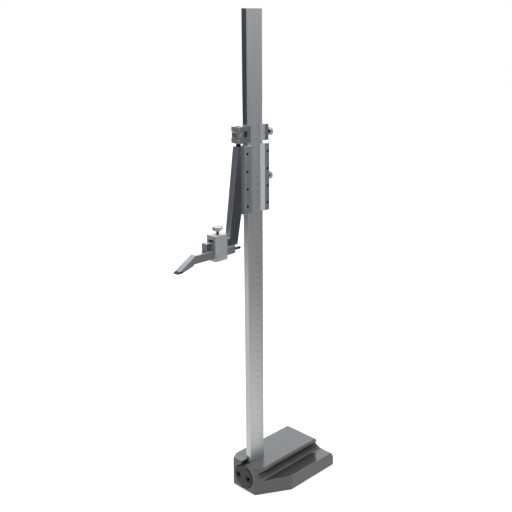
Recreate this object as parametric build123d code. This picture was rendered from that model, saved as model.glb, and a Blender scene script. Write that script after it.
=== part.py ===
"""Vernier height gauge: a cast base, a graduated beam, a slider with an arm and scriber, and a
fine-adjustment carriage.

Millimetres, +Z up. The origin is on the surface plate, under the centre of the beam. The scriber
points to -X, and the scale faces -Y.
"""
from build123d import *
import math
import os

os.makedirs("parts", exist_ok=True)

# ---------------------------------------------------------------- scale and beam
SCALE_ZERO_Z = 64.0        # height of the scale's zero line above the surface plate
READING = 361.0            # height shown at rest: the measuring face stands this high
BEAM_W = 28.0              # along X
BEAM_T = 9.2               # along Y
BEAM_TOP = 676.5
BEAM_FOOT = 0.5            # the beam's lower end stands clear of the ground face
BEAM_EDGE = 0.5            # chamfer

# ---------------------------------------------------------------- clearances
SLIDE_CLEAR = 0.05         # flat faces that slide on each other
THREAD_CLEAR = 0.05        # radial, a threaded shank in its hole
SHANK_CLEAR = 0.2          # radial, a shank that passes through a plain hole
HEAD_CLEAR = 0.15          # radial, a screw head in its counterbore
NUT_CLEAR = 0.3            # above and below the fine-adjustment nut
SPIGOT_CLEAR = 0.03        # radial, a stud in its knob

# ---------------------------------------------------------------- base casting
BASE_FRONT = -23.4
BASE_BACK = 121.6
BASE_HALF = 50.8           # half width of the flanges
FRONT_HALF = 22.3          # half width of the front face
SHOULDER_X = 25.6          # where the oblique corners reach the full width
BASE_H = 44.0
FLANGE_Z = 22.0            # top of the flanges
TOP_HALF = 29.4            # half width of the top plate
COVE_Y = 32.0              # centre line of the finger groove
COVE_R = 8.3               # radius of the finger groove
BACK_TOP_X = 102.3         # where the sloping back meets the top
BACK_KNEE_Z = 12.5         # where the sloping back begins
CORNER_R = 2.0             # upright corners
RIM_R = 1.2                # rounded rim of the top plate
FLANGE_R = 1.5             # rounded rim of the flanges
FOOT_EDGE = 1.2            # chamfer round the ground face
PAD_RIM = 11.0             # width of the ground rim under the base
PAD_RELIEF = 2.0           # depth of the relief inside that rim
PAD_START_X = 38.0         # the relief begins behind the clamp bore

# ---------------------------------------------------------------- beam clamp in the base
CLAMP_Z = 21.9             # axis of the bore, along X
CLAMP_BORE_R = 18.2
CAP_R = 17.0
CAP_PROUD = 1.3            # the cap stands out of the base's front face
CAP_EDGE = 0.5             # chamfer
ANCHOR_T = 12.0            # thickness of the nut plate behind the beam
CLAMP_BORE_SPARE = 2.0     # bore left free behind the nut plate
CLAMP_SCREW_Y = 10.0       # the screws pass on either side of the beam
CLAMP_SCREW_R = 3.0
CLAMP_HEAD_R = 5.0
CLAMP_HEAD_H = 6.0
CLAMP_HEAD_SUNK = 0.6      # the heads lie this far inside the cap's face
HEX_KEY = 5.0              # across flats
HEX_DEPTH = 3.5
NOTCH_HALF = 5.5           # half width of the open slot in front of the beam

# ---------------------------------------------------------------- slider
SLIDER_LEN = 90.0
VERNIER_ABOVE_END = 7.5    # vernier zero above the slider's lower end
SLIDER_LEFT = -22.6
SLIDER_RIGHT = 23.0
BACK_WALL = 3.45
PLATE_T = 3.5
LEFT_LIP = 4.1             # the left plate laps over the beam's face by this much
BODY_EDGE = 0.8            # chamfer on the slider's long back edges
PLATE_EDGE = 0.4           # chamfer on the plates
VERNIER_TOE_X = 8.5        # thin edge of the vernier, next to the scale lines
VERNIER_FLAT_X = 14.4      # where the vernier's bevel ends
VERNIER_TOE_T = 0.3
GIB_T = 1.0
GIB_HALF = 4.4             # half width of a gib, along Y
GIB_END = 4.5              # a gib stops this far inside the slider's ends
CARRIAGE_GIB_END = 1.5
GIB_SCREW_R = 1.5
GIB_SCREW_SUNK = 0.5

PLATE_SCREWS = 4
PLATE_SCREW_PITCH = 23.0
LEFT_SCREW_X = -17.6
RIGHT_SCREW_X = 19.4
PLATE_HEAD_R = 1.75
PLATE_HEAD_H = 1.6
PLATE_HEAD_SUNK = 0.5
PLATE_SHANK_R = 1.0
PLATE_SHANK_LEN = 6.0      # below the head
TAP_SPARE = 0.5            # a tapped hole runs on this far past its screw
DRIVER_SLOT_W = 0.5
DRIVER_SLOT_DEPTH = 0.7

# ---------------------------------------------------------------- arm and foot bar
ARM_TOP_X = -31.6          # front edge at the slider's upper end
ARM_LEAN = 0.141           # the front edge moves this far to -X for each mm down
ARM_NECK_X = -26.3         # rear edge, under the slider
ARM_NECK_RISE = 1.5        # that corner lies this far above the slider's lower end
ARM_HEEL_X = -34.1         # rear edge at the foot
FOOT_END_X = -88.9
FOOT_H = 11.4
FOOT_END_R = 0.7
ARM_EDGE = 0.6
ARM_INNER_R = 1.5

# ---------------------------------------------------------------- scriber
BAR_RISE = 7.2             # underside of the bar above the measuring face
BAR_H = 11.05
BAR_T = 9.2                # along Y
BAR_REAR_X = -37.8
SLOPE_START_X = -106.4
TIP_X = -137.0
TIP_BLUNT = 0.2            # height of the carbide's front edge
TIP_RISE = 2.6             # the carbide's sloping face ends this far above the measuring face
TIP_SEAT_X = -128.5
TIP_PROUD = 0.2            # the carbide stands below the steel
UNDER_STEP_X = -110.7
UNDER_STEP_RISE = 5.3
UNDER_STEP_LEN = 1.1
SCRIBER_EDGE = 0.5
PIN_R = 1.85
PIN_RISE = 11.6            # pin axis above the measuring face
PIN_OUT = 12.6             # free length behind the bar
PIN_IN = 8.0               # length inside the bar

# ---------------------------------------------------------------- scriber clamp
BOX_LEFT = -76.6
BOX_RIGHT = -55.4
BOX_HALF = 8.6             # half width along Y
BOX_FLOOR = 4.0
BOX_ROOF = 5.9
BOX_GAP = 2.2              # free height above the foot bar
BOX_SIDE_CLEAR = 0.1
BOX_EDGE = 0.7

# ---------------------------------------------------------------- fine-adjustment carriage
CARRIAGE_GAP = 4.1         # between the slider and the carriage
CARRIAGE_H = 21.2
CARRIAGE_LEFT = -32.0
CARRIAGE_RIGHT = 21.3
CARRIAGE_CORNER = 1.5      # chamfer of the front left upright edge
CARRIAGE_WALL = 2.4        # back wall
CARRIAGE_EDGE = 0.5        # chamfer round the back face
NUT_X = -26.0              # axis of the nut and the spindle
NUT_R = 8.35
NUT_H = 7.6
NUT_FLOOR = 6.9            # thickness of the fork under the nut
NUT_SIDE_CLEAR = 0.4       # between the nut and the end of its window
NUT_TEETH = 36
SPINDLE_R = 3.4
SPINDLE_IN_ARM = 24.0
SPINDLE_OVER_NUT = 4.4

# ---------------------------------------------------------------- clamp screws
STUD_R = 2.3
KNOB_R = 5.4
KNOB_T = 3.6
KNOB_TEETH = 24
SLIDER_BOSS_R = 6.0
SLIDER_BOSS_H = 2.5
SLIDER_KNOB_OUT = 6.4      # inner face of the knob, out from the slider's side
CARRIAGE_KNOB_OUT = 8.8
CARRIAGE_CLAMP_RISE = 9.6  # above the carriage's lower face
TOP_SCREW_X = -65.0
TOP_STUD_R = 1.75
TOP_KNOB_R = 6.75
TOP_KNOB_T = 5.9
TOP_KNOB_OUT = 4.0         # underside of the knob above the box
TOP_KNOB_TEETH = 28
KNOB_DISH = 1.0            # hollow in a knob's outer face
KNOB_CHAMFER = 0.4
KNOB_TAPER = 1.8           # a knob draws in this far, and over this height, towards its stud
NUT_CHAMFER = 0.6
KNURL_DEPTH = 0.35
KNURL_LAND = 0.3           # flat top of a tooth, as a share of its pitch
SPIGOT_R = 1.4             # end of a stud inside its knob
SPIGOT_SHARE = 0.6         # how far the spigot reaches into the knob

# ---------------------------------------------------------------- derived places
SLIDE_FACE = BEAM_T / 2 + SLIDE_CLEAR
SLIDE_EDGE = BEAM_W / 2 + SLIDE_CLEAR
FRONT_Y = -SLIDE_FACE - PLATE_T
BACK_Y = SLIDE_FACE + BACK_WALL
GIB_SEAT_X = SLIDE_EDGE + GIB_T + SLIDE_CLEAR
SLIDER_Z = SCALE_ZERO_Z + READING - VERNIER_ABOVE_END
SLIDER_TOP = SLIDER_Z + SLIDER_LEN
SLIDER_MID = SLIDER_Z + SLIDER_LEN / 2
SCREW_ZS = [SLIDER_MID + (i - (PLATE_SCREWS - 1) / 2) * PLATE_SCREW_PITCH for i in range(PLATE_SCREWS)]
GIB_SCREW_ZS = [sum(SCREW_ZS[:2]) / 2, sum(SCREW_ZS[-2:]) / 2]
BAR_Z = READING + BAR_RISE
BAR_TOP = BAR_Z + BAR_H
SCRIBER_SLOPE = (BAR_TOP - READING - TIP_BLUNT) / (SLOPE_START_X - TIP_X)
TIP_TOP_X = TIP_X + (TIP_RISE - TIP_BLUNT) / SCRIBER_SLOPE
FOOT_Z = BAR_TOP + SLIDE_CLEAR
FOOT_TOP = FOOT_Z + FOOT_H
BOX_Z = BAR_Z - SLIDE_CLEAR - BOX_FLOOR
BOX_TOP = FOOT_TOP + BOX_GAP + BOX_ROOF
CARRIAGE_Z = SLIDER_TOP + CARRIAGE_GAP
CARRIAGE_TOP = CARRIAGE_Z + CARRIAGE_H
NUT_Z = CARRIAGE_Z + NUT_FLOOR + NUT_CLEAR
NUT_TOP = NUT_Z + NUT_H
CARRIAGE_CLAMP_Z = CARRIAGE_Z + CARRIAGE_CLAMP_RISE
ANCHOR_X = BEAM_W / 2
CLAMP_BORE_END = ANCHOR_X + ANCHOR_T + CLAMP_BORE_SPARE
CAP_FACE = BASE_FRONT - CAP_PROUD

LOW = (Align.CENTER, Align.CENTER, Align.MIN)
NEAR = 0.1                 # edges closer than this to a point are taken as lying there
OVER = 1.0                 # a cut runs on this far past the faces that it opens


# ---------------------------------------------------------------- helpers
def prism_z(points, z0, z1):
    """A profile of (x, y) points, extruded from z0 up to z1."""
    return extrude(Plane.XY.offset(z0) * Polygon(*points, align=None), amount=z1 - z0, dir=(0, 0, 1))


def prism_y(points, y0, y1):
    """A profile of (x, z) points, extruded from y0 to y1."""
    return extrude(Plane.XZ.offset(-y0) * Polygon(*points, align=None), amount=y1 - y0, dir=(0, 1, 0))


def prism_x(points, x0, x1):
    """A profile of (y, z) points, extruded from x0 to x1."""
    return extrude(Plane.YZ.offset(x0) * Polygon(*points, align=None), amount=x1 - x0, dir=(1, 0, 0))


def rect(a0, a1, b0, b1):
    """The four corners of a rectangle, for the prisms above."""
    return [(a0, b0), (a1, b0), (a1, b1), (a0, b1)]


def rod_z(radius, x, y, z0, z1):
    """A round bar along Z."""
    return Pos(x, y, z0) * Cylinder(radius, z1 - z0, align=LOW)


def rod_x(radius, x0, x1, y, z):
    """A round bar along X."""
    return Pos(x0, y, z) * Rot(0, 90, 0) * Cylinder(radius, x1 - x0, align=LOW)


def rod_y(radius, x, y0, y1, z):
    """A round bar along Y."""
    return Pos(x, y0, z) * Rot(-90, 0, 0) * Cylinder(radius, y1 - y0, align=LOW)


def turned(profile):
    """A body of revolution round Z, from its (radius, z) points."""
    return revolve(Plane.XZ * Polygon(*profile, align=None), Axis.Z)


def knurled(radius, height, foot, crown, teeth):
    """A straight-knurled bar standing on Z = 0, with its ends chamfered by foot below and crown above."""
    core = radius - KNURL_DEPTH
    band = height - crown
    body = turned([(0, 0), (core - foot, 0), (core, foot), (core, band), (core - crown, height), (0, height)])
    ridges = []
    for i in range(teeth):
        for r, part in ((core, -0.5), (radius, -KNURL_LAND / 2), (radius, KNURL_LAND / 2)):
            a = 2 * math.pi * (i + part) / teeth
            ridges.append((r * math.cos(a), r * math.sin(a)))
    return body + prism_z(ridges, foot, band)


def knob(radius, height, teeth):
    """A knurled knob standing on Z = 0: tapered below, dished on top, with a blind hole for its stud."""
    rim = radius - KNURL_DEPTH - 2 * KNOB_CHAMFER
    floor = height - KNOB_DISH
    above = height + OVER
    dish = turned([(0, floor), (rim - KNOB_DISH, floor), (rim + OVER, above), (0, above)])
    body = knurled(radius, height, min(KNOB_TAPER, height / 2), KNOB_CHAMFER, teeth) - dish
    return body - rod_z(SPIGOT_R + SPIGOT_CLEAR, 0, 0, -OVER, height * SPIGOT_SHARE)


# ---------------------------------------------------------------- base
def base_casting():
    outline = [
        (BASE_FRONT, FRONT_HALF),
        (SHOULDER_X, BASE_HALF),
        (BASE_BACK, BASE_HALF),
        (BASE_BACK, -BASE_HALF),
        (SHOULDER_X, -BASE_HALF),
        (BASE_FRONT, -FRONT_HALF),
    ]
    column = prism_z(outline, 0, BASE_H)
    column = fillet(column.edges().filter_by(Axis.Z), CORNER_R)
    lean = (BASE_BACK - BACK_TOP_X) / (BASE_H - BACK_KNEE_Z)
    column -= prism_y(
        [
            (BASE_BACK + lean * OVER, BACK_KNEE_Z - OVER),
            (BASE_BACK - lean * (BASE_H + OVER - BACK_KNEE_Z), BASE_H + OVER),
            (BASE_BACK + lean * OVER, BASE_H + OVER),
        ],
        -BASE_HALF - OVER,
        BASE_HALF + OVER,
    )
    flange = column & prism_z(rect(BASE_FRONT, BASE_BACK, -BASE_HALF, BASE_HALF), 0, FLANGE_Z)
    flange = fillet(flange.faces().sort_by(Axis.Z)[-1].edges(), FLANGE_R)
    flange = chamfer(flange.faces().sort_by(Axis.Z)[0].edges(), FOOT_EDGE)

    root_z = FLANGE_Z - 2 * FLANGE_R
    cove_z = FLANGE_Z + COVE_R
    lip_z = cove_z + math.sqrt(COVE_R**2 - (COVE_Y - TOP_HALF) ** 2)
    side = (
        Polyline((0, BASE_H), (TOP_HALF, BASE_H), (TOP_HALF, lip_z))
        + ThreePointArc((TOP_HALF, lip_z), (COVE_Y - COVE_R, cove_z), (COVE_Y, FLANGE_Z))
        + Polyline((COVE_Y, FLANGE_Z), (COVE_Y, root_z), (0, root_z), (0, BASE_H))
    )
    half = make_face(Plane.YZ.offset(BASE_FRONT) * side)
    plate = extrude(half, amount=BASE_BACK - BASE_FRONT, dir=(1, 0, 0))
    plate = (plate + mirror(plate, about=Plane.XZ)) & column
    plate = fillet(plate.faces().sort_by(Axis.Z)[-1].edges(), RIM_R)
    body = flange + plate

    body -= rod_x(CLAMP_BORE_R, BASE_FRONT - OVER, CLAMP_BORE_END, 0, CLAMP_Z)
    body -= prism_z(rect(-SLIDE_EDGE, SLIDE_EDGE, -SLIDE_FACE, SLIDE_FACE), -OVER, BASE_H + OVER)
    body -= prism_z(rect(BASE_FRONT - OVER, -BEAM_W / 2, -NOTCH_HALF, NOTCH_HALF), -OVER, BASE_H + OVER)
    relief = [
        (PAD_START_X, BASE_HALF - PAD_RIM),
        (BASE_BACK - PAD_RIM, BASE_HALF - PAD_RIM),
        (BASE_BACK - PAD_RIM, -BASE_HALF + PAD_RIM),
        (PAD_START_X, -BASE_HALF + PAD_RIM),
    ]
    pocket = prism_z(relief, -OVER, PAD_RELIEF)
    body -= fillet(pocket.edges().filter_by(Axis.Z), PAD_RIM / 2)
    return body


def beam():
    body = prism_z(rect(-BEAM_W / 2, BEAM_W / 2, -BEAM_T / 2, BEAM_T / 2), BEAM_FOOT, BEAM_TOP)
    return chamfer(body.edges(), BEAM_EDGE)


def clamp_screw_places():
    return [(y, CLAMP_Z) for y in (-CLAMP_SCREW_Y, CLAMP_SCREW_Y)]


def beam_clamp_cap():
    body = rod_x(CAP_R, CAP_FACE, -BEAM_W / 2, 0, CLAMP_Z)
    rim = body.edges().filter_by(GeomType.CIRCLE).sort_by(Axis.X)[0]
    body = chamfer(rim, CAP_EDGE)
    for y, z in clamp_screw_places():
        sunk = CAP_FACE + CLAMP_HEAD_SUNK + CLAMP_HEAD_H
        body -= rod_x(CLAMP_HEAD_R + HEAD_CLEAR, CAP_FACE - OVER, sunk, y, z)
        body -= rod_x(CLAMP_SCREW_R + SHANK_CLEAR, CAP_FACE, 0, y, z)
    return body


def beam_clamp_anchor():
    body = rod_x(CAP_R, ANCHOR_X, ANCHOR_X + ANCHOR_T, 0, CLAMP_Z)
    for y, z in clamp_screw_places():
        body -= rod_x(CLAMP_SCREW_R + THREAD_CLEAR, ANCHOR_X - OVER, ANCHOR_X + ANCHOR_T + OVER, y, z)
    return body


def beam_clamp_screws():
    """Socket-head screws from the cap into the nut plate."""
    screws = []
    face = CAP_FACE + CLAMP_HEAD_SUNK
    for y, z in clamp_screw_places():
        head = rod_x(CLAMP_HEAD_R, face, face + CLAMP_HEAD_H, y, z)
        head = chamfer(head.edges().filter_by(GeomType.CIRCLE).sort_by(Axis.X)[0], PLATE_EDGE)
        hexagon = Plane.YZ.offset(face) * Pos(y, z) * RegularPolygon(HEX_KEY / 2, 6, major_radius=False)
        head -= extrude(hexagon, amount=HEX_DEPTH, dir=(1, 0, 0))
        head += rod_x(CLAMP_SCREW_R, face + CLAMP_HEAD_H, ANCHOR_X + ANCHOR_T, y, z)
        screws.append(head)
    return Compound(children=screws)


# ---------------------------------------------------------------- slider
def plate_screw_holes(x, z):
    """Counterbore and clearance hole in a front plate, and the tapped hole behind it."""
    bore = rod_y(PLATE_HEAD_R + HEAD_CLEAR, x, FRONT_Y - OVER, FRONT_Y + PLATE_HEAD_SUNK + PLATE_HEAD_H, z)
    return bore + rod_y(PLATE_SHANK_R + THREAD_CLEAR, x, FRONT_Y, plate_screw_end() + TAP_SPARE, z)


def plate_screw_end():
    return FRONT_Y + PLATE_HEAD_SUNK + PLATE_HEAD_H + PLATE_SHANK_LEN


def plate_screws(x):
    """The row of slotted screws that holds one front plate."""
    screws = []
    face = FRONT_Y + PLATE_HEAD_SUNK
    for z in SCREW_ZS:
        screw = rod_y(PLATE_HEAD_R, x, face, face + PLATE_HEAD_H, z)
        reach = PLATE_HEAD_R + OVER
        slot = rect(x - reach, x + reach, z - DRIVER_SLOT_W / 2, z + DRIVER_SLOT_W / 2)
        screw -= prism_y(slot, face - OVER, face + DRIVER_SLOT_DEPTH)
        screw += rod_y(PLATE_SHANK_R, x, face + PLATE_HEAD_H, plate_screw_end(), z)
        screws.append(screw)
    return Compound(children=screws)


def edges_across(shape, x, z):
    """The edges along Y that pass through (x, z)."""
    return [e for e in shape.edges().filter_by(Axis.Y) if (e.center() - Vector(x, 0, z)).length < NEAR]


def arm_and_foot():
    """The tapered arm with the foot bar at its lower end, as one flat forging."""
    def front_x(z):
        return ARM_TOP_X - ARM_LEAN * (SLIDER_TOP - z)

    inside = SLIDER_LEFT + 2 * BODY_EDGE
    neck_z = SLIDER_Z + ARM_NECK_RISE
    side = prism_y(
        [
            (ARM_TOP_X, SLIDER_TOP),
            (inside, SLIDER_TOP),
            (inside, neck_z),
            (ARM_NECK_X, neck_z),
            (ARM_HEEL_X, FOOT_Z),
            (FOOT_END_X, FOOT_Z),
            (FOOT_END_X, FOOT_TOP),
            (front_x(FOOT_TOP), FOOT_TOP),
        ],
        -SLIDE_FACE,
        SLIDE_FACE,
    )
    inner = edges_across(side, ARM_NECK_X, neck_z) + edges_across(side, front_x(FOOT_TOP), FOOT_TOP)
    side = fillet(inner, ARM_INNER_R)
    end = side.faces().sort_by(Axis.X)[0]
    side = fillet(end.edges().filter_by(Axis.Z), FOOT_END_R)
    front = [e for e in side.edges() if e.length > SLIDER_LEN and e.center().X < ARM_TOP_X]
    side = chamfer(front, ARM_EDGE)
    under = side.faces().sort_by(Axis.Z)[0].edges().filter_by(Axis.X)
    return chamfer(under, ARM_EDGE)


def slider_body():
    channel = prism_z(
        [
            (SLIDER_LEFT, -SLIDE_FACE),
            (SLIDER_LEFT, BACK_Y),
            (SLIDER_RIGHT, BACK_Y),
            (SLIDER_RIGHT, -SLIDE_FACE),
            (GIB_SEAT_X, -SLIDE_FACE),
            (GIB_SEAT_X, SLIDE_FACE),
            (-SLIDE_EDGE, SLIDE_FACE),
            (-SLIDE_EDGE, -SLIDE_FACE),
        ],
        SLIDER_Z,
        SLIDER_TOP,
    )
    back = channel.faces().sort_by(Axis.Y)[-1]
    channel = chamfer(back.edges(), BODY_EDGE)
    boss_x = SLIDER_RIGHT + SLIDER_BOSS_H
    boss = rod_x(SLIDER_BOSS_R, SLIDER_RIGHT - OVER, boss_x, 0, SLIDER_MID)
    boss &= prism_x(rect(-SLIDE_FACE, BACK_Y - BODY_EDGE, SLIDER_Z, SLIDER_TOP), 0, boss_x)
    body = channel + arm_and_foot() + boss
    for x in (LEFT_SCREW_X, RIGHT_SCREW_X):
        for z in SCREW_ZS:
            body -= plate_screw_holes(x, z)
    for z in GIB_SCREW_ZS:
        body -= rod_x(GIB_SCREW_R + THREAD_CLEAR, SLIDE_EDGE, SLIDER_RIGHT + OVER, 0, z)
    body -= rod_x(STUD_R + THREAD_CLEAR, SLIDE_EDGE, boss_x + OVER, 0, SLIDER_MID)
    body -= rod_z(SPINDLE_R + THREAD_CLEAR, NUT_X, 0, SLIDER_TOP - SPINDLE_IN_ARM, SLIDER_TOP + OVER)
    return body


def left_plate():
    body = prism_z(
        rect(SLIDER_LEFT, -BEAM_W / 2 + LEFT_LIP, FRONT_Y, -SLIDE_FACE), SLIDER_Z, SLIDER_TOP
    )
    body = chamfer(body.faces().sort_by(Axis.Y)[0].edges(), PLATE_EDGE)
    for z in SCREW_ZS:
        body -= plate_screw_holes(LEFT_SCREW_X, z)
    return body


def lip_section():
    """Section of the bevelled lip over the beam's face: (x, y) points, from the toe to the flat."""
    return [
        (VERNIER_TOE_X, -SLIDE_FACE),
        (VERNIER_TOE_X, -SLIDE_FACE - VERNIER_TOE_T),
        (VERNIER_FLAT_X, FRONT_Y),
    ]


def vernier_plate():
    outline = lip_section() + [(SLIDER_RIGHT, FRONT_Y), (SLIDER_RIGHT, -SLIDE_FACE)]
    body = prism_z(outline, SLIDER_Z, SLIDER_TOP)
    outer = body.edges().filter_by(Axis.Z).group_by(Axis.Y)[0].sort_by(Axis.X)[-1]
    body = chamfer(outer, PLATE_EDGE)
    for z in SCREW_ZS:
        body -= plate_screw_holes(RIGHT_SCREW_X, z)
    return body


def gib(z0, z1):
    """A strip between the beam's edge and the rail that carries the clamp screw."""
    return prism_z(rect(SLIDE_EDGE, SLIDE_EDGE + GIB_T, -GIB_HALF, GIB_HALF), z0, z1)


def slider_gib_screws():
    screws = []
    tip = SLIDE_EDGE + GIB_T
    end = SLIDER_RIGHT - GIB_SCREW_SUNK
    for z in GIB_SCREW_ZS:
        screw = rod_x(GIB_SCREW_R, tip, end, 0, z)
        slot = rect(-GIB_SCREW_R - OVER, GIB_SCREW_R + OVER, z - DRIVER_SLOT_W / 2, z + DRIVER_SLOT_W / 2)
        screws.append(screw - prism_x(slot, end - DRIVER_SLOT_DEPTH, end + OVER))
    return Compound(children=screws)


# ---------------------------------------------------------------- fine-adjustment carriage
def carriage_body():
    back_y = SLIDE_FACE + CARRIAGE_WALL
    left_lip = [(-x, y) for x, y in reversed(lip_section())]
    outline = (
        lip_section()
        + [
            (CARRIAGE_RIGHT, FRONT_Y),
            (CARRIAGE_RIGHT, back_y),
            (CARRIAGE_LEFT, back_y),
            (CARRIAGE_LEFT, FRONT_Y + CARRIAGE_CORNER),
            (CARRIAGE_LEFT + CARRIAGE_CORNER, FRONT_Y),
        ]
        + left_lip
        + [
            (-SLIDE_EDGE, -SLIDE_FACE),
            (-SLIDE_EDGE, SLIDE_FACE),
            (GIB_SEAT_X, SLIDE_FACE),
            (GIB_SEAT_X, -SLIDE_FACE),
        ]
    )
    body = prism_z(outline, CARRIAGE_Z, CARRIAGE_TOP)
    body = chamfer(body.faces().sort_by(Axis.Y)[-1].edges(), CARRIAGE_EDGE)
    window = rect(
        CARRIAGE_LEFT - OVER, NUT_X + NUT_R + NUT_SIDE_CLEAR, NUT_Z - NUT_CLEAR, NUT_TOP + NUT_CLEAR
    )
    body -= prism_y(window, FRONT_Y - OVER, back_y + OVER)
    body -= rod_z(SPINDLE_R + SHANK_CLEAR, NUT_X, 0, CARRIAGE_Z - OVER, CARRIAGE_TOP + OVER)
    body -= rod_x(STUD_R + THREAD_CLEAR, SLIDE_EDGE, CARRIAGE_RIGHT + OVER, 0, CARRIAGE_CLAMP_Z)
    return body


def fine_adjust_nut():
    body = knurled(NUT_R, NUT_H, NUT_CHAMFER, NUT_CHAMFER, NUT_TEETH)
    return Pos(NUT_X, 0, NUT_Z) * (body - rod_z(SPINDLE_R + THREAD_CLEAR, 0, 0, -OVER, NUT_H + OVER))


def fine_adjust_spindle():
    body = rod_z(SPINDLE_R, NUT_X, 0, SLIDER_TOP - SPINDLE_IN_ARM, NUT_TOP + SPINDLE_OVER_NUT)
    return chamfer(body.edges().filter_by(GeomType.CIRCLE), PLATE_EDGE)


# ---------------------------------------------------------------- clamp studs and knobs
def side_stud(side_x, knob_out, z):
    """Stud of a side clamp, from the gib to the spigot inside the knob."""
    face = side_x + knob_out
    body = rod_x(STUD_R, SLIDE_EDGE + GIB_T, face, 0, z)
    return body + rod_x(SPIGOT_R, face - OVER, face + KNOB_T * SPIGOT_SHARE, 0, z)


def side_knob(side_x, knob_out, z):
    return Pos(side_x + knob_out, 0, z) * Rot(0, 90, 0) * knob(KNOB_R, KNOB_T, KNOB_TEETH)


def scriber_clamp_stud():
    under = BOX_TOP + TOP_KNOB_OUT
    body = rod_z(TOP_STUD_R, TOP_SCREW_X, 0, FOOT_TOP + SLIDE_CLEAR, under)
    return body + rod_z(SPIGOT_R, TOP_SCREW_X, 0, under - OVER, under + TOP_KNOB_T * SPIGOT_SHARE)


def scriber_clamp_knob():
    return Pos(TOP_SCREW_X, 0, BOX_TOP + TOP_KNOB_OUT) * knob(TOP_KNOB_R, TOP_KNOB_T, TOP_KNOB_TEETH)


# ---------------------------------------------------------------- scriber and its clamp
def scriber_clamp():
    outer = prism_x(rect(-BOX_HALF, BOX_HALF, BOX_Z, BOX_TOP), BOX_LEFT, BOX_RIGHT)
    outer = chamfer(outer.edges(), BOX_EDGE)
    inner_half = SLIDE_FACE + BOX_SIDE_CLEAR
    window = rect(-inner_half, inner_half, BAR_Z - SLIDE_CLEAR, FOOT_TOP + BOX_GAP)
    body = outer - prism_x(window, BOX_LEFT - OVER, BOX_RIGHT + OVER)
    return body - rod_z(TOP_STUD_R + THREAD_CLEAR, TOP_SCREW_X, 0, FOOT_TOP, BOX_TOP + OVER)


def scriber():
    body = prism_y(
        [
            (BAR_REAR_X, BAR_Z),
            (BAR_REAR_X, BAR_TOP),
            (SLOPE_START_X, BAR_TOP),
            (TIP_TOP_X, READING + TIP_RISE),
            (TIP_SEAT_X, READING + TIP_RISE),
            (TIP_SEAT_X, READING + TIP_PROUD),
            (UNDER_STEP_X, READING + UNDER_STEP_RISE),
            (UNDER_STEP_X + UNDER_STEP_LEN, BAR_Z),
        ],
        -BAR_T / 2,
        BAR_T / 2,
    )
    rear = body.faces().sort_by(Axis.X)[-1].edges()
    top = body.faces().sort_by(Axis.Z)[-1].edges().filter_by(Axis.X)
    body = chamfer(rear + top, SCRIBER_EDGE)
    return body - rod_x(PIN_R + THREAD_CLEAR, BAR_REAR_X - PIN_IN, BAR_REAR_X + OVER, 0, READING + PIN_RISE)


def carbide_tip():
    return prism_y(
        [
            (TIP_X, READING),
            (TIP_X, READING + TIP_BLUNT),
            (TIP_TOP_X, READING + TIP_RISE),
            (TIP_SEAT_X, READING + TIP_RISE),
            (TIP_SEAT_X, READING),
        ],
        -BAR_T / 2,
        BAR_T / 2,
    )


def scriber_pin():
    body = rod_x(PIN_R, BAR_REAR_X - PIN_IN, BAR_REAR_X + PIN_OUT, 0, READING + PIN_RISE)
    return chamfer(body.edges().filter_by(GeomType.CIRCLE), PLATE_EDGE)


# ---------------------------------------------------------------- the assembly
NODES = {
    "base_casting": base_casting,
    "beam": beam,
    "beam_clamp_cap": beam_clamp_cap,
    "beam_clamp_anchor": beam_clamp_anchor,
    "beam_clamp_screws": beam_clamp_screws,
    "slider_body": slider_body,
    "left_plate": left_plate,
    "left_plate_screws": lambda: plate_screws(LEFT_SCREW_X),
    "vernier_plate": vernier_plate,
    "vernier_plate_screws": lambda: plate_screws(RIGHT_SCREW_X),
    "slider_gib": lambda: gib(SLIDER_Z + GIB_END, SLIDER_TOP - GIB_END),
    "slider_gib_screws": slider_gib_screws,
    "slider_clamp_stud": lambda: side_stud(SLIDER_RIGHT, SLIDER_KNOB_OUT, SLIDER_MID),
    "slider_clamp_knob": lambda: side_knob(SLIDER_RIGHT, SLIDER_KNOB_OUT, SLIDER_MID),
    "fine_adjust_spindle": fine_adjust_spindle,
    "carriage_body": carriage_body,
    "carriage_gib": lambda: gib(CARRIAGE_Z + CARRIAGE_GIB_END, CARRIAGE_TOP - CARRIAGE_GIB_END),
    "carriage_clamp_stud": lambda: side_stud(CARRIAGE_RIGHT, CARRIAGE_KNOB_OUT, CARRIAGE_CLAMP_Z),
    "carriage_clamp_knob": lambda: side_knob(CARRIAGE_RIGHT, CARRIAGE_KNOB_OUT, CARRIAGE_CLAMP_Z),
    "fine_adjust_nut": fine_adjust_nut,
    "scriber_clamp": scriber_clamp,
    "scriber_clamp_stud": scriber_clamp_stud,
    "scriber_clamp_knob": scriber_clamp_knob,
    "scriber": scriber,
    "carbide_tip": carbide_tip,
    "scriber_pin": scriber_pin,
}

for name, make in NODES.items():
    export_step(make(), f"parts/{name}.step")
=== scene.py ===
"""Looks of the vernier height gauge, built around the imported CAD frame.

Metres, in the part's own frame: +Z up, the scriber points to -X and the scale faces -Y.
"""

import math

import bmesh
import bpy
from mathutils import Matrix, Vector


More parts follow.
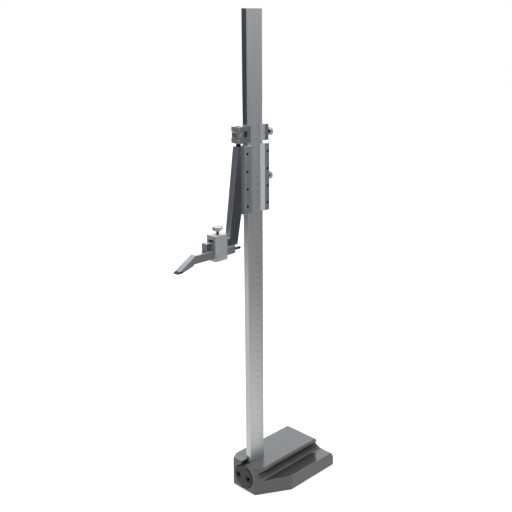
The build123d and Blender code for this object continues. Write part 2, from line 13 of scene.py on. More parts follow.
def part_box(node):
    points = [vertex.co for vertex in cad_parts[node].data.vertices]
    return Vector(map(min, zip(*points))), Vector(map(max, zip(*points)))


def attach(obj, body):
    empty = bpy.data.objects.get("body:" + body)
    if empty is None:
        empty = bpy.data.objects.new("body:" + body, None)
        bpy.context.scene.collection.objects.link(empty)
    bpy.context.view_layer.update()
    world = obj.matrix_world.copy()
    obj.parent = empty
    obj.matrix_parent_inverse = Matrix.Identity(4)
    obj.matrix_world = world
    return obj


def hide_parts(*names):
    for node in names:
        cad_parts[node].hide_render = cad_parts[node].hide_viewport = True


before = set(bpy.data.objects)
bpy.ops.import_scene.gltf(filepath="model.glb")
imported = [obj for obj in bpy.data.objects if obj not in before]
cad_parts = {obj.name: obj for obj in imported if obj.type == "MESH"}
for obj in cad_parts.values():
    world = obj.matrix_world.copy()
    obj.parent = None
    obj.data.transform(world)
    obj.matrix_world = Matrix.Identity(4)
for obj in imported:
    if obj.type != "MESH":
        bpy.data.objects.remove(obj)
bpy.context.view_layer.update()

MM = 0.001
RIGHT, UP, FRONT = Vector((1, 0, 0)), Vector((0, 0, 1)), Vector((0, -1, 0))

# ---------------------------------------------------------------- sizes: scale and vernier
SCALE_FACE_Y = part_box("beam")[0].y
SCALE_ZERO_Z = 64.0 * MM
SCALE_MM = 500                # the last mark of the scale
MARK_W = 0.13 * MM            # width of an engraved line
MARK_PROUD = 0.015 * MM       # the paint fill stands this far out of the steel
MARK_SUNK = 0.05 * MM         # and reaches this far into it
FIGURE_CURVES = 3             # segments in each curve of a figure
TICK_END_X = 13.4 * MM
TICK_START_X = {1: 6.7 * MM, 5: 5.7 * MM, 10: 4.9 * MM}    # by rank: longer each 5 and each 10
NUMBER_X = 2.25 * MM
NUMBER_SIZE = 3.3 * MM
NUMBER_EVERY = 10

VERNIER_MARGIN = 7.5 * MM     # from the plate's lower end to the vernier's zero
VERNIER_ZERO_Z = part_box("vernier_plate")[0].z + VERNIER_MARGIN
VERNIER_STEP = 0.98 * MM      # 50 divisions over 49 mm
VERNIER_STEPS = 50
VERNIER_TOE = Vector((8.5 * MM, -4.95 * MM, 0))     # thin edge of the bevelled lip, in X and Y
VERNIER_TOP = Vector((14.4 * MM, -8.15 * MM, 0))    # where the bevel meets the plate's flat face
VERNIER_TICK = {1: 2.0 * MM, 5: 3.0 * MM}           # length of a line by rank
VERNIER_TICK_AT = 0.1 * MM                          # from the toe to the start of a line
VERNIER_NUMBER_AT = 4.5 * MM
VERNIER_NUMBER_SIZE = 1.9 * MM
VERNIER_NUMBER_EVERY = 5

# ---------------------------------------------------------------- sizes: threads and nut
THREAD_SIDES = 32
THREAD_STEPS = 4              # rings for each turn of the thread
THREAD_DEPTH = 0.6            # share of the pitch
SPINDLE_R, SPINDLE_PITCH = 3.4 * MM, 1.0 * MM
STUD_R, STUD_PITCH = 2.3 * MM, 0.8 * MM
TOP_STUD_R, TOP_STUD_PITCH = 1.75 * MM, 0.7 * MM
NO_NECK = (0.0, 0.0)
SIDE_NECK = (1.4 * MM, 2.16 * MM)    # radius and length of a stud's smooth end, inside its knob
TOP_NECK = (1.4 * MM, 3.54 * MM)
# new piece, the node it replaces, body, axis, crest radius, pitch, smooth end
RODS = [
    ("spindle_thread", "fine_adjust_spindle", "slider",
     UP, SPINDLE_R, SPINDLE_PITCH, NO_NECK),
    ("slider_stud_thread", "slider_clamp_stud", "slider_clamp",
     RIGHT, STUD_R, STUD_PITCH, SIDE_NECK),
    ("carriage_stud_thread", "carriage_clamp_stud", "carriage_clamp",
     RIGHT, STUD_R, STUD_PITCH, SIDE_NECK),
    ("scriber_stud_thread", "scriber_clamp_stud", "scriber_screw",
     UP, TOP_STUD_R, TOP_STUD_PITCH, TOP_NECK),
]

NUT_BORE_R = 3.45 * MM
NUT_EDGE = 0.6 * MM           # height of the bevel at each end
NUT_EDGE_IN = 1.5 * NUT_EDGE  # and how far it goes in
NUT_KNURLS = 96
KNURL_DEEP = 0.07 * MM
NUT_BANDS = 3
NUT_GROOVE_W = 0.8 * MM
NUT_GROOVE_DEEP = 0.45 * MM
NUT_GROOVE_WALL = 0.15 * MM   # how far a groove's wall leans
NUT_GROOVE_RINGS = (4, 8)     # rings of faces at the bottom of the two grooves, painted black as shade

# ---------------------------------------------------------------- view
CAMERA_AT = Vector((-0.70633, -0.71409, 0.6582))
CAMERA_HEADING = 45.124       # degrees from +X towards +Y
CAMERA_PITCH = 16.814         # degrees below the horizon
CAMERA_ROLL = 0.3814
CAMERA_SENSOR = 36.0          # mm
CAMERA_LENS = 54.12           # mm
CAMERA_NEAR = 0.01

# ---------------------------------------------------------------- floor, room and lamps
PAPER = (0.80, 0.80, 0.80)
PAPER_TINT = (1.0, 0.995, 0.975)     # of the lit paper in reflections
FLOOR_RADIUS = 6.0
FLOOR_SIDES = 96
FLOOR_LIFT = 0.38             # keeps the paper white to the camera, outside the object's shadow
PAPER_GLOW = 0.77             # how bright the lit paper looks in reflections
ROOM_FLOOR = 0.065            # and the floor beyond it
# lit patches of paper: centre, radius of the full glow, radius where it ends, share of PAPER_GLOW
LIT_PATCHES = [
    ((-0.33, 0.33), 0.20, 1.60, 0.88),
    ((-0.50, -2.35), 0.85, 1.65, 1.7),
    ((0.22, -0.22), 0.10, 0.70, 0.40),
    ((1.50, 1.50), 0.60, 1.60, 0.6),
]
FOOTPRINT_NOSE = 22.3 * MM    # half width of the base at its front
FOOTPRINT_TAPER = 49.0 * MM   # from the front to where the base is full width
FOOTPRINT_RIM = 0.97          # share of the half width where the glow starts to come back

ROOM_WHITE = (1.0, 1.0, 1.0)
ROOM_TINT = (0.95, 0.98, 1.0)
WORLD_LEVEL = 0.065
# direction, cosines where the lobe starts and is full, and what it adds to the plain level
WORLD_LOBES = [
    ((0.66, 0.66, 0.38), 0.71, 0.94, 1.65),      # white sweep behind the object
    ((-0.35, -0.92, 0.25), 0.50, 0.92, 0.28),    # soft box beside the camera
    ((0.60, -0.60, 0.52), 0.72, 0.95, 0.84),     # window to the right
    ((-0.60, 0.60, 0.52), 0.87, 0.97, 0.50),     # pale wall to the left
    ((0.0, 0.0, 1.0), 0.45, 0.85, 1.00),         # ceiling
]
# name, place, target, width and height, watts
LAMPS = [
    ("softbox_top", (-0.3, -0.2, 2.2), (0, 0, 0.3), (1.6, 1.6), 20.0),
    ("softbox_front", (-0.4, -1.9, 1.2), (0, 0, 0.35), (1.0, 1.4), 6.0),
]

# ---------------------------------------------------------------- looks
# In this section a name that ends in _AT holds the two values, of noise or openness, between
# which a change happens. One that ends in _CELLS gives noise cells per metre, for all axes or
# for X, Y and Z.
NOISE_AT = (0.3, 0.7)               # nearly all of a noise lies between these
EDGE_SAMPLES = 4                    # of the rounded edges
HOLLOW_SAMPLES = 6                  # of the darkened hollows

# brushing: few cells along the strokes
ALONG_Z_CELLS = (1400.0, 1400.0, 12.0)
ALONG_X_CELLS = (14.0, 1300.0, 1300.0)
BRUSHED_Z_CELLS = (900.0, 900.0, 45.0)
BRUSHED_X_CELLS = (60.0, 900.0, 900.0)
PLAIN_CELLS = (700.0, 700.0, 700.0)

STEEL_FINER = 3.1                   # the second grain is this much finer than the first
STEEL_STAIN_CELLS = (55.0, 55.0, 22.0)
STEEL_STAIN_AT = (0.5, 0.75)
STEEL_STAIN = 0.90                  # brightness of the stain
STEEL_STAIN_SHARE = 0.20            # and its strength
STEEL_ROUGH_GRAIN = 0.10            # how much the grain varies the roughness
STEEL_ROUGH_STAIN = 0.08            # how much the stain does
STEEL_EDGE = 0.25 * MM
STEEL_RELIEF = 0.02 * MM
STEEL_CORNER_SHADE = 0.12                    # brightness of the painted shade in a narrow corner
STEEL_CORNER_SHADE_AT = (0.30, 0.75)         # openness of the darkest painted shade and of unshaded steel
STEEL_HOLLOW = 9.0 * MM             # how wide a corner has to be to stay free of painted shade

PAINT_GRAIN_CELLS = 1100.0
PAINT_PEEL_CELLS = 300.0
PAINT_CLOUD_CELLS = 28.0
PAINT_DARK = (0.025, 0.025, 0.024)
PAINT_LIGHT = (0.084, 0.082, 0.079)
PAINT_CLOUD = (0.048, 0.047, 0.045)
PAINT_CLOUD_AT = (0.35, 0.75)
PAINT_CLOUD_SHARE = (0.0, 0.35)
PAINT_HOLLOW_SHADE = (0.004, 0.004, 0.004)  # painted shade in the hollows
PAINT_HOLLOW_SHADE_AT = (0.66, 0.96)        # openness of the darkest painted shade and of unshaded paint
PAINT_HOLLOW = 13.0 * MM
PAINT_ROUGH = (0.12, 0.22)
PAINT_ROUGH_AT = (0.2, 0.8)
PAINT_SHINE = (0.05, 0.5)           # specular level in the hollows, lowered there as painted shade, and in the open
PAINT_IOR = 1.75
PAINT_RELIEF = 0.05 * MM
PAINT_BUMP = 0.34
PAINT_EDGE = 0.6 * MM

PLATE_CELLS = 240.0
PLATE_WORN = 0.82                   # brightness of worn plating
PLATE_WORN_AT = (0.45, 0.7)
PLATE_ROUGHER = 0.12                # how much rougher it is there
PLATE_EDGE = 0.12 * MM

OXIDE_CELLS = 420.0
OXIDE_METAL = 0.55
OXIDE_RUBBED = 1.7                  # brightness of rubbed oxide
OXIDE_RUBBED_AT = (0.45, 0.75)
OXIDE_ROUGH = 0.38
OXIDE_SMOOTHER, OXIDE_ROUGHER = 0.08, 0.10
OXIDE_EDGE = 0.15 * MM

CAP_CELLS = 300.0
CAP_DARK = (0.030, 0.027, 0.029)
CAP_LIGHT = (0.052, 0.047, 0.051)
CAP_METAL = 0.35
CAP_ROUGH = (0.36, 0.5)
CAP_RING = 0.22 * MM                # from one turned ring to the next
CAP_BUMP = 0.15
CAP_RELIEF = 0.02 * MM

FILL_CELLS = 2500.0
FILL_DARK = (0.13, 0.13, 0.135)
FILL_LIGHT = (0.26, 0.26, 0.265)
FILL_LIGHT_AT = (0.35, 0.7)
FILL_ROUGH = (0.5, 0.7)


# ---------------------------------------------------------------- node helpers
class Nodes:
    """Short calls for building one node tree."""

    def __init__(self, tree):
        self.tree = tree
        tree.nodes.clear()

    def add(self, kind, **settings):
        node = self.tree.nodes.new(kind)
        for key, value in settings.items():
            setattr(node, key, value)
        return node

    def link(self, out, into):
        self.tree.links.new(out, into)

    def feed(self, socket, value):
        """Set a socket to a constant, or link an output to it."""
        if isinstance(value, bpy.types.NodeSocket):
            self.link(value, socket)
        else:
            socket.default_value = value

    def math(self, operation, a, b=0.0, clamp=False):
        node = self.add("ShaderNodeMath", operation=operation, use_clamp=clamp)
        self.feed(node.inputs[0], a)
        self.feed(node.inputs[1], b)
        return node.outputs[0]

    def total(self, first, *others):
        for other in others:
            first = self.math("ADD", first, other)
        return first

    def vector(self, operation, a, b):
        node = self.add("ShaderNodeVectorMath", operation=operation)
        self.feed(node.inputs[0], a)
        self.feed(node.inputs[1], b)
        return node.outputs[0]

    def dot(self, vector, direction):
        node = self.add("ShaderNodeVectorMath", operation="DOT_PRODUCT")
        self.link(vector, node.inputs[0])
        node.inputs[1].default_value = direction
        return node.outputs["Value"]

    def length(self, vector):
        node = self.add("ShaderNodeVectorMath", operation="LENGTH")
        self.link(vector, node.inputs[0])
        return node.outputs["Value"]

    def span(self, value, between, out=(0.0, 1.0), smooth=True):
        """Map the two values of between to the two of out, and hold those beyond."""
        kind = "SMOOTHSTEP" if smooth else "LINEAR"
        node = self.add("ShaderNodeMapRange", interpolation_type=kind)
        self.link(value, node.inputs["Value"])
        node.inputs["From Min"].default_value = between[0]
        node.inputs["From Max"].default_value = between[1]
        node.inputs["To Min"].default_value = out[0]
        node.inputs["To Max"].default_value = out[1]
        return node.outputs["Result"]

    def noise(self, coords, cells, detail=4.0, roughness=0.55):
        """Noise in cells per metre: one number, or one for each axis."""
        mapping = self.add("ShaderNodeMapping")
        self.link(coords, mapping.inputs["Vector"])
        per_axis = (cells,) * 3 if isinstance(cells, float) else cells
        mapping.inputs["Scale"].default_value = per_axis
        node = self.add("ShaderNodeTexNoise")
        self.link(mapping.outputs["Vector"], node.inputs["Vector"])
        node.inputs["Scale"].default_value = 1.0
        node.inputs["Detail"].default_value = detail
        node.inputs["Roughness"].default_value = roughness
        return node.outputs["Fac"]

    def mix(self, factor, a, b):
        node = self.add("ShaderNodeMix", data_type="RGBA")
        self.feed(node.inputs["Factor"], factor)
        self.feed(node.inputs["A"], rgba(a) if isinstance(a, (tuple, list)) else a)
        self.feed(node.inputs["B"], rgba(b) if isinstance(b, (tuple, list)) else b)
        return node.outputs["Result"]

    def openness(self, distance):
        """1 on open faces, lower in hollows that are narrower than about the distance."""
        node = self.add("ShaderNodeAmbientOcclusion", samples=HOLLOW_SAMPLES, only_local=True)
        node.inputs["Distance"].default_value = distance
        return node.outputs["AO"]

    def rounded(self, radius):
        """Normals that turn over the edges as if these were rounded."""
        node = self.add("ShaderNodeBevel", samples=EDGE_SAMPLES)
        node.inputs["Radius"].default_value = radius
        return node.outputs["Normal"]

    def relief(self, height, strength, distance, normal=None):
        node = self.add("ShaderNodeBump")
        node.inputs["Strength"].default_value = strength
        node.inputs["Distance"].default_value = distance
        self.link(height, node.inputs["Height"])
        if normal is not None:
            self.link(normal, node.inputs["Normal"])
        return node.outputs["Normal"]

    def mix_shader(self, factor, a, b):
        node = self.add("ShaderNodeMixShader")
        self.link(factor, node.inputs["Fac"])
        self.link(a, node.inputs[1])
        self.link(b, node.inputs[2])
        return node.outputs[0]


def rgba(color):
    return (*color, 1.0)


def shaded(color, share):
    """The colour at a share of its brightness, no brighter than white."""
    return [min(1.0, c * share) for c in color]


def new_material(name):
    """A material with its node helper, its shader's inputs and its object coordinates."""
    material = bpy.data.materials.new(name)
    material.use_nodes = True
    n = Nodes(material.node_tree)
    shader = n.add("ShaderNodeBsdfPrincipled")
    out = n.add("ShaderNodeOutputMaterial")
    n.link(shader.outputs["BSDF"], out.inputs["Surface"])
    coords = n.add("ShaderNodeTexCoord").outputs["Object"]
    return material, n, shader.inputs, coords


# ---------------------------------------------------------------- materials
def ground_steel(name, color, rough, cells, streak=0.06, bump=0.05, shade_corners=False):
    """Ground or brushed steel.

    rough is the roughness of the faces that look along X, Y and Z. streak is how far the
    strokes differ from the colour. Where asked, the steel gets painted shade in its narrow
    corners: a darker colour.
    """
    material, n, inputs, coords = new_material(name)
    strokes = n.noise(coords, cells, detail=5.0, roughness=0.65)
    fine = n.noise(coords, [per_axis * STEEL_FINER for per_axis in cells], detail=3.0)
    cloud = n.noise(coords, STEEL_STAIN_CELLS, detail=3.0)
    dark, light = shaded(color, 1.0 - streak), shaded(color, 1.0 + streak)
    base = n.mix(n.span(strokes, NOISE_AT), dark, light)
    stained = n.math("MULTIPLY", n.span(cloud, STEEL_STAIN_AT), STEEL_STAIN_SHARE, clamp=True)
    base = n.mix(stained, base, shaded(color, STEEL_STAIN))
    # Painted shade: the base colour darkens in the narrow corners.
    if shade_corners:
        unshaded = n.span(n.openness(STEEL_HOLLOW), STEEL_CORNER_SHADE_AT)
        base = n.mix(unshaded, shaded(color, STEEL_CORNER_SHADE), base)
    n.link(base, inputs["Base Color"])
    inputs["Metallic"].default_value = 1.0

    normal = n.add("ShaderNodeTexCoord").outputs["Normal"]
    level = n.dot(n.vector("MULTIPLY", normal, normal), rough)
    spread = n.math("ADD", n.math("MULTIPLY", strokes, STEEL_ROUGH_GRAIN),
                    n.math("MULTIPLY", cloud, STEEL_ROUGH_STAIN))
    middle = (STEEL_ROUGH_GRAIN + STEEL_ROUGH_STAIN) / 2
    n.link(n.math("ADD", n.math("SUBTRACT", spread, middle), level), inputs["Roughness"])
    height = n.math("ADD", strokes, fine)
    n.link(n.relief(height, bump, STEEL_RELIEF, n.rounded(STEEL_EDGE)), inputs["Normal"])
    return material


def cast_paint(name):
    """Semi-gloss grey paint over cast iron: a fine hammered grain and soft orange peel."""
    material, n, inputs, coords = new_material(name)
    grain = n.noise(coords, PAINT_GRAIN_CELLS, detail=3.0)
    peel = n.noise(coords, PAINT_PEEL_CELLS, detail=2.0)
    cloud = n.noise(coords, PAINT_CLOUD_CELLS, detail=3.0)
    base = n.mix(n.span(grain, NOISE_AT), PAINT_DARK, PAINT_LIGHT)
    base = n.mix(n.span(cloud, PAINT_CLOUD_AT, PAINT_CLOUD_SHARE), base, PAINT_CLOUD)
    # Painted shade: the hollows take a near-black colour and little specular.
    unshaded_paint = n.span(n.openness(PAINT_HOLLOW), PAINT_HOLLOW_SHADE_AT)
    n.link(n.mix(unshaded_paint, PAINT_HOLLOW_SHADE, base), inputs["Base Color"])
    n.link(n.span(grain, PAINT_ROUGH_AT, PAINT_ROUGH), inputs["Roughness"])
    n.link(n.span(unshaded_paint, (0.0, 1.0), PAINT_SHINE), inputs["Specular IOR Level"])
    inputs["IOR"].default_value = PAINT_IOR
    height = n.math("ADD", grain, peel)
    normal = n.relief(height, PAINT_BUMP, PAINT_RELIEF, n.rounded(PAINT_EDGE))
    n.link(normal, inputs["Normal"])
    return material


def worn_coat(name, cells, color, worn, worn_at, metal, rough, edge):
    """A coat worn in soft patches. worn is the brightness there, and rough gives both ends."""
    material, n, inputs, coords = new_material(name)
    cloud = n.noise(coords, cells)
    n.link(n.mix(n.span(cloud, worn_at), color, shaded(color, worn)), inputs["Base Color"])
    inputs["Metallic"].default_value = metal
    n.link(n.span(cloud, NOISE_AT, rough), inputs["Roughness"])
    n.link(n.rounded(edge), inputs["Normal"])
    return material


def plated(name, color, rough):
    """Bright plating with faint wear."""
    return worn_coat(name, PLATE_CELLS, color, PLATE_WORN, PLATE_WORN_AT, metal=1.0,
                     rough=(rough, rough + PLATE_ROUGHER), edge=PLATE_EDGE)


def black_oxide(name, color, rough=OXIDE_ROUGH):
    """Blackened steel, slightly rubbed and oily."""
    return worn_coat(name, OXIDE_CELLS, color, OXIDE_RUBBED, OXIDE_RUBBED_AT, OXIDE_METAL,
                     rough=(rough - OXIDE_SMOOTHER, rough + OXIDE_ROUGHER), edge=OXIDE_EDGE)


def turned_oxide(name):
    """Dark oxide on a lathe-turned face: rings round the bore's axis, which lies along X."""
    material, n, inputs, coords = new_material(name)
    low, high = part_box("beam_clamp_cap")
    from_middle = n.vector("SUBTRACT", coords, (low + high) / 2)
    from_axis = n.vector("MULTIPLY", from_middle, (0.0, 1.0, 1.0))
    rings = n.math("SINE", n.math("MULTIPLY", n.length(from_axis), 2 * math.pi / CAP_RING))
    cloud = n.noise(coords, CAP_CELLS)
    n.link(n.mix(n.span(cloud, NOISE_AT), CAP_DARK, CAP_LIGHT), inputs["Base Color"])
    inputs["Metallic"].default_value = CAP_METAL
    n.link(n.span(cloud, NOISE_AT, CAP_ROUGH), inputs["Roughness"])
    n.link(n.relief(rings, CAP_BUMP, CAP_RELIEF), inputs["Normal"])
    return material


def mark_fill(name):
    """Dark paint wiped into the engraved marks."""
    material, n, inputs, coords = new_material(name)
    wear = n.noise(coords, FILL_CELLS, detail=2.0)
    n.link(n.mix(n.span(wear, FILL_LIGHT_AT), FILL_DARK, FILL_LIGHT), inputs["Base Color"])
    n.link(n.span(wear, NOISE_AT, FILL_ROUGH), inputs["Roughness"])
    return material


def dress(material, *names):
    """Give CAD nodes a material."""
    for name in names:
        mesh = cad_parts[name].data
        mesh.materials.clear()
        mesh.materials.append(material)


# ---------------------------------------------------------------- mesh helpers
def add_object(name, data):
    obj = bpy.data.objects.new(name, data)
    bpy.context.scene.collection.objects.link(obj)
    return obj


def mesh_object(name, bm, material, body):
    """Turn a bmesh into a flat-shaded piece that rides on a body."""
    mesh = bpy.data.meshes.new(name)
    bmesh.ops.recalc_face_normals(bm, faces=bm.faces)
    bm.to_mesh(mesh)
    bm.free()
    mesh.materials.append(material)
    for polygon in mesh.polygons:
        polygon.use_smooth = False
    obj = add_object(name, mesh)
    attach(obj, body)
    return obj


def axes_matrix(origin, x, y, z):
    """The matrix that puts an object's axes along x, y and z at the origin given."""
    return Matrix(((x.x, y.x, z.x, origin.x),
                   (x.y, y.y, z.y, origin.y),
                   (x.z, y.z, z.z, origin.z),
                   (0, 0, 0, 1)))


# corners of a block's faces; corners 0 to 3 go round its bottom and 4 to 7 round its top
BLOCK_FACES = ((0, 1, 2, 3), (7, 6, 5, 4), (0, 4, 5, 1), (1, 5, 6, 2), (2, 6, 7, 3), (3, 7, 4, 0))


def add_mark(bm, origin, along, across, out, length):
    """An engraved line as a thin solid. It starts at the origin and runs along the surface."""
    corners = []
    for height in (-MARK_SUNK, MARK_PROUD):
        for end, side in ((0, -0.5), (1, -0.5), (1, 0.5), (0, 0.5)):
            spot = origin + along * (end * length) + across * (side * MARK_W) + out * height
            corners.append(bm.verts.new(spot))
    for face in BLOCK_FACES:
        bm.faces.new([corners[i] for i in face])


def add_text(bm, text, size, place):
    """Plain figures as thin solids, centred on the origin of place and lying in its XY plane."""
    curve = bpy.data.curves.new("figures", "FONT")
    curve.body = text
    curve.size = size
    curve.align_x = "CENTER"
    curve.align_y = "CENTER"
    curve.resolution_u = FIGURE_CURVES
    curve.extrude = (MARK_PROUD + MARK_SUNK) / 2
    obj = add_object("figures", curve)
    bpy.context.view_layer.update()
    evaluated = obj.evaluated_get(bpy.context.evaluated_depsgraph_get())
    mesh = bpy.data.meshes.new_from_object(evaluated)
    mesh.transform(place @ Matrix.Translation((0, 0, (MARK_PROUD - MARK_SUNK) / 2)))
    bm.from_mesh(mesh)
    bpy.data.objects.remove(obj)
    bpy.data.curves.remove(curve)
    bpy.data.meshes.remove(mesh)


def add_skin(bm, pairs):
    """Quads between pairs of loops that have the same number of points."""
    for a, b in pairs:
        for k in range(len(a)):
            j = (k + 1) % len(a)
            bm.faces.new((a[k], a[j], b[j], b[k]))


# ---------------------------------------------------------------- threads and nut
def threaded_rod(name, node, body, along, crest, pitch, neck, material):
    """A rod with a modelled thread, in place of a plain CAD rod.

    neck gives the radius and length of its smooth end.
    """
    low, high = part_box(node)
    length = (high - low).dot(along)
    start = (low + high) / 2 - along * (length / 2)
    side = along.orthogonal().normalized()
    other = along.cross(side)
    root = crest - THREAD_DEPTH * pitch
    neck_radius, neck_length = neck

    def thread_radius(distance, share):
        """Radius at a distance along the rod and a share of a turn round it."""
        turn = distance / pitch - share
        height = 1.0 - abs(2.0 * (turn - math.floor(turn)) - 1.0)
        return root + (crest - root) * height

    bm = bmesh.new()

    def loop_at(distance, radius=None):
        """A ring of points, threaded where no radius is given."""
        loop = []
        for k in range(THREAD_SIDES):
            share = k / THREAD_SIDES
            angle = 2 * math.pi * share
            r = thread_radius(distance, share) if radius is None else radius
            ray = side * math.cos(angle) + other * math.sin(angle)
            loop.append(bm.verts.new(start + along * distance + ray * r))
        return loop

    threaded = length - neck_length
    steps = int(threaded / pitch * THREAD_STEPS)
    loops = [loop_at(0.0, root)]
    loops += [loop_at(threaded * k / steps) for k in range(1, steps)]
    loops.append(loop_at(threaded, root))
    if neck_length:
        loops += [loop_at(threaded, neck_radius), loop_at(length, neck_radius)]
    add_skin(bm, zip(loops, loops[1:]))
    bm.faces.new(loops[0][::-1])
    bm.faces.new(loops[-1])
    rod = mesh_object(name, bm, material, body)
    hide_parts(node)


def nut_profile(rim, top):
    """Radius, height and whether it is knurled, for each loop of the nut from its lower bore up."""
    band = (top - 2 * NUT_EDGE - (NUT_BANDS - 1) * NUT_GROOVE_W) / NUT_BANDS
    inner = rim - NUT_GROOVE_DEEP
    profile = [(NUT_BORE_R, 0.0, False), (rim - NUT_EDGE_IN, 0.0, False)]
    z = NUT_EDGE
    for k in range(NUT_BANDS):
        profile += [(rim, z, True), (rim, z + band, True)]
        if k < NUT_BANDS - 1:
            profile += [(inner, z + band + NUT_GROOVE_WALL, False),
                        (inner, z + band + NUT_GROOVE_W - NUT_GROOVE_WALL, False)]
        z += band + NUT_GROOVE_W
    return profile + [(rim - NUT_EDGE_IN, top, False), (NUT_BORE_R, top, False)]


def ringed_nut(material, groove_shade_material):
    """The fine-adjustment nut with fine knurling in three bands, in place of the CAD nut."""
    low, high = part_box("fine_adjust_nut")
    foot = Vector(((low.x + high.x) / 2, (low.y + high.y) / 2, low.z))
    sides = NUT_KNURLS * 2
    bm = bmesh.new()
    loops = []
    for radius, height, knurled in nut_profile((high.x - low.x) / 2, high.z - low.z):
        loop = []
        for k in range(sides):
            angle = 2 * math.pi * k / sides
            r = radius - (KNURL_DEEP if knurled and k % 2 else 0.0)
            spot = foot + Vector((r * math.cos(angle), r * math.sin(angle), height))
            loop.append(bm.verts.new(spot))
        loops.append(loop)
    add_skin(bm, zip(loops, loops[1:] + loops[:1]))
    nut = mesh_object("knurled_nut", bm, material, "nut")
    nut.data.materials.append(groove_shade_material)
    # The groove bottoms take the black oxide as painted shade.
    for polygon in nut.data.polygons:
        if polygon.index // sides in NUT_GROOVE_RINGS:
            polygon.material_index = 1
    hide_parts("fine_adjust_nut")


# ---------------------------------------------------------------- scale and vernier
def tick_rank(i):
    """10, 5 or 1: the roundest step that a mark's number is a multiple of."""
    return next(rank for rank in (10, 5, 1) if i % rank == 0)


def beam_scale(material):
    ticks, figures = bmesh.new(), bmesh.new()
    for i in range(SCALE_MM + 1):
        z = SCALE_ZERO_Z + i * MM
        start = TICK_START_X[tick_rank(i)]
        origin = Vector((start, SCALE_FACE_Y, z))
        add_mark(ticks, origin, RIGHT, UP, FRONT, TICK_END_X - start)
        if i % NUMBER_EVERY == 0:
            place = axes_matrix(Vector((NUMBER_X, SCALE_FACE_Y, z)), RIGHT, UP, FRONT)
            add_text(figures, str(i), NUMBER_SIZE, place)
    mesh_object("scale_ticks", ticks, material, "stand")
    mesh_object("scale_numbers", figures, material, "stand")


def vernier_scale(material):
    along = (VERNIER_TOP - VERNIER_TOE).normalized()
    out = along.cross(UP)
    ticks, figures = bmesh.new(), bmesh.new()
    for i in range(VERNIER_STEPS + 1):
        length = VERNIER_TICK[min(5, tick_rank(i))]
        origin = VERNIER_TOE + UP * (VERNIER_ZERO_Z + i * VERNIER_STEP)
        add_mark(ticks, origin + along * VERNIER_TICK_AT, along, UP, out, length)
        if i % VERNIER_NUMBER_EVERY == 0:
            place = axes_matrix(origin + along * VERNIER_NUMBER_AT, along, UP, out)
            add_text(figures, str(i // VERNIER_NUMBER_EVERY), VERNIER_NUMBER_SIZE, place)
    mesh_object("vernier_ticks", ticks, material, "slider")
    mesh_object("vernier_numbers", figures, material, "slider")


# ---------------------------------------------------------------- studio
def seen_directly(n, path):
    """1 for what the camera sees, straight or through something clear."""
    rays = path.outputs
    return n.math("ADD", rays["Is Camera Ray"], rays["Is Transmission Ray"], clamp=True)


def footprint_mask(n, x, y):
    """0 under the base casting and 1 outside it."""
    low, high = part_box("base_casting")
    middle, half = (low + high) / 2, (high - low) / 2
    across = n.math("DIVIDE", n.math("ABSOLUTE", n.math("SUBTRACT", x, middle.x)), half.x)
    taper = (low.x, low.x + FOOTPRINT_TAPER)
    half_width = n.span(x, taper, (FOOTPRINT_NOSE, half.y), smooth=False)
    deep = n.math("DIVIDE", n.math("ABSOLUTE", n.math("SUBTRACT", y, middle.y)), half_width)
    return n.span(n.math("MAXIMUM", across, deep), (FOOTPRINT_RIM, 1.0))


def lit_paper(n, x, y):
    """Brightness of the floor in reflections: lit patches of paper on a darker floor."""
    patches = []
    for (cx, cy), inner, outer, share in LIT_PATCHES:
        dx, dy = n.math("SUBTRACT", x, cx), n.math("SUBTRACT", y, cy)
        square = n.math("ADD", n.math("MULTIPLY", dx, dx), n.math("MULTIPLY", dy, dy))
        reach = n.math("SQRT", square)
        patches.append(n.span(reach, (inner, outer), (PAPER_GLOW * share, 0.0)))
    return n.total(*patches, ROOM_FLOOR)


def stage_floor():
    """A pale floor: white to the camera with a soft shadow, lit patches of paper in reflections."""
    material = bpy.data.materials.new("floor_paper")
    material.use_nodes = True
    n = Nodes(material.node_tree)
    path = n.add("ShaderNodeLightPath")
    split = n.add("ShaderNodeSeparateXYZ")
    n.link(n.add("ShaderNodeNewGeometry").outputs["Position"], split.inputs[0])
    x, y = split.outputs["X"], split.outputs["Y"]
    open_floor = footprint_mask(n, x, y)

    diffuse = n.add("ShaderNodeBsdfDiffuse")
    diffuse.inputs["Color"].default_value = rgba(PAPER)
    lift = n.add("ShaderNodeEmission")
    seen = n.math("MULTIPLY", seen_directly(n, path), FLOOR_LIFT)
    n.link(n.math("MULTIPLY", open_floor, seen), lift.inputs["Strength"])
    paper = n.add("ShaderNodeAddShader")
    n.link(diffuse.outputs[0], paper.inputs[0])
    n.link(lift.outputs[0], paper.inputs[1])

    glow = n.add("ShaderNodeEmission")
    glow.inputs["Color"].default_value = rgba(PAPER_TINT)
    n.link(n.math("MULTIPLY", open_floor, lit_paper(n, x, y)), glow.inputs["Strength"])

    floor = n.mix_shader(path.outputs["Is Glossy Ray"], paper.outputs[0], glow.outputs[0])
    n.link(floor, n.add("ShaderNodeOutputMaterial").inputs["Surface"])

    bm = bmesh.new()
    bmesh.ops.create_circle(bm, cap_ends=True, segments=FLOOR_SIDES, radius=FLOOR_RADIUS)
    mesh = bpy.data.meshes.new("floor")
    bm.to_mesh(mesh)
    bm.free()
    mesh.materials.append(material)
    obj = add_object("floor", mesh)


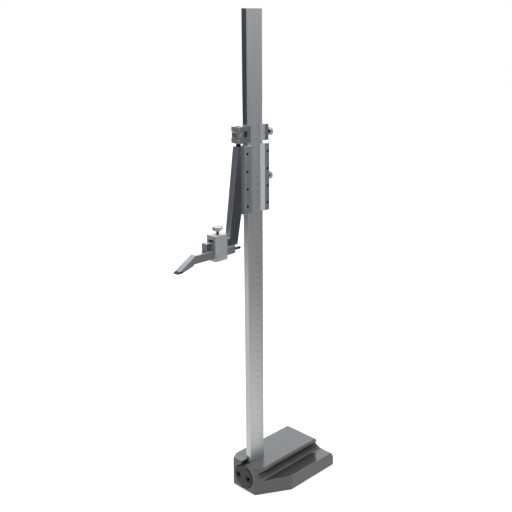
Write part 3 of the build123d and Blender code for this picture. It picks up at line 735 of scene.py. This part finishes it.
def studio_world():
    """White to the camera; a dim room with soft boxes for light and reflections."""
    world = bpy.data.worlds.new("studio")
    bpy.context.scene.world = world
    world.use_nodes = True
    n = Nodes(world.node_tree)
    direction = n.add("ShaderNodeTexCoord").outputs["Generated"]
    lobes = []
    for axis, start, full, strength in WORLD_LOBES:
        facing = n.dot(direction, Vector(axis).normalized())
        lobes.append(n.span(facing, (start, full), (0.0, strength)))
    room = n.add("ShaderNodeBackground")
    room.inputs["Color"].default_value = rgba(ROOM_TINT)
    n.link(n.total(*lobes, WORLD_LEVEL), room.inputs["Strength"])
    white = n.add("ShaderNodeBackground")
    white.inputs["Color"].default_value = rgba(ROOM_WHITE)
    seen = seen_directly(n, n.add("ShaderNodeLightPath"))
    surface = n.mix_shader(seen, room.outputs[0], white.outputs[0])
    n.link(surface, n.add("ShaderNodeOutputWorld").inputs["Surface"])


def area_lamp(name, place, target, size, power):
    """A soft box that reflections don't show."""
    data = bpy.data.lights.new(name, "AREA")
    data.shape = "RECTANGLE"
    data.size, data.size_y = size
    data.energy = power
    lamp = add_object(name, data)
    lamp.location = place
    lamp.visible_glossy = False
    lamp.rotation_euler = (Vector(target) - Vector(place)).to_track_quat("-Z", "Y").to_euler()


def camera():
    h, p, r = (math.radians(a) for a in (CAMERA_HEADING, CAMERA_PITCH, CAMERA_ROLL))
    side = Vector((math.sin(h), -math.cos(h), 0))
    lift = Vector((math.sin(p) * math.cos(h), math.sin(p) * math.sin(h), math.cos(p)))
    right = side * math.cos(r) - lift * math.sin(r)
    up = lift * math.cos(r) + side * math.sin(r)
    data = bpy.data.cameras.new("camera")
    data.sensor_width = CAMERA_SENSOR
    data.lens = CAMERA_LENS
    data.clip_start = CAMERA_NEAR
    obj = add_object("camera", data)
    obj.matrix_world = axes_matrix(CAMERA_AT, right, up, right.cross(up))
    bpy.context.scene.camera = obj


# ---------------------------------------------------------------- the scene
camera()
studio_world()
stage_floor()
for lamp in LAMPS:
    area_lamp(*lamp)

dress(cast_paint("grey_paint"), "base_casting")
dress(turned_oxide("cap_oxide"), "beam_clamp_cap")
dress(ground_steel("satin_chrome", color=(0.645, 0.66, 0.68), rough=(0.22, 0.46, 0.46),
                   cells=ALONG_Z_CELLS),
      "beam")
# The arm and the carriage get painted shade in their narrow corners.
dress(ground_steel("arm_steel", color=(0.42, 0.45, 0.495), rough=(0.46, 0.24, 0.36),
                   cells=BRUSHED_Z_CELLS, shade_corners=True),
      "slider_body")
dress(ground_steel("plate_steel", color=(0.60, 0.625, 0.66), rough=(0.38, 0.38, 0.38),
                   cells=BRUSHED_Z_CELLS),
      "left_plate", "vernier_plate")
dress(ground_steel("carriage_steel", color=(0.47, 0.49, 0.525), rough=(0.70, 0.32, 0.32),
                   cells=BRUSHED_Z_CELLS, shade_corners=True),
      "carriage_body")
dress(ground_steel("brushed_box", color=(0.69, 0.705, 0.72), rough=(0.26, 0.52, 0.60),
                   cells=BRUSHED_X_CELLS, streak=0.12, bump=0.12),
      "scriber_clamp")
dress(ground_steel("scriber_steel", color=(0.48, 0.495, 0.515), rough=(0.24, 0.38, 0.24),
                   cells=ALONG_X_CELLS),
      "scriber")
dress(ground_steel("carbide", color=(0.085, 0.085, 0.082), rough=(0.30, 0.30, 0.30),
                   cells=PLAIN_CELLS),
      "carbide_tip")
dress(plated("nickel", (0.70, 0.68, 0.65), 0.14),
      "fine_adjust_nut", "slider_clamp_knob", "carriage_clamp_knob", "scriber_clamp_knob")
dress(plated("gib_bronze", (0.62, 0.45, 0.22), 0.3), "slider_gib", "carriage_gib")
blacked = black_oxide("black_oxide", (0.014, 0.014, 0.015))
dress(blacked, "beam_clamp_anchor", "beam_clamp_screws", "slider_gib_screws",
      "slider_clamp_stud", "carriage_clamp_stud", "scriber_clamp_stud", "fine_adjust_spindle",
      "scriber_pin")
dress(black_oxide("dark_screws", (0.003, 0.003, 0.003), 0.7),
      "left_plate_screws", "vernier_plate_screws")

for rod in RODS:
    threaded_rod(*rod, blacked)
ringed_nut(plated("worn_nickel", (0.56, 0.545, 0.52), 0.28), blacked)

fill = mark_fill("mark_fill")
beam_scale(fill)
vernier_scale(fill)

scene = bpy.context.scene
scene.view_settings.view_transform = "Standard"
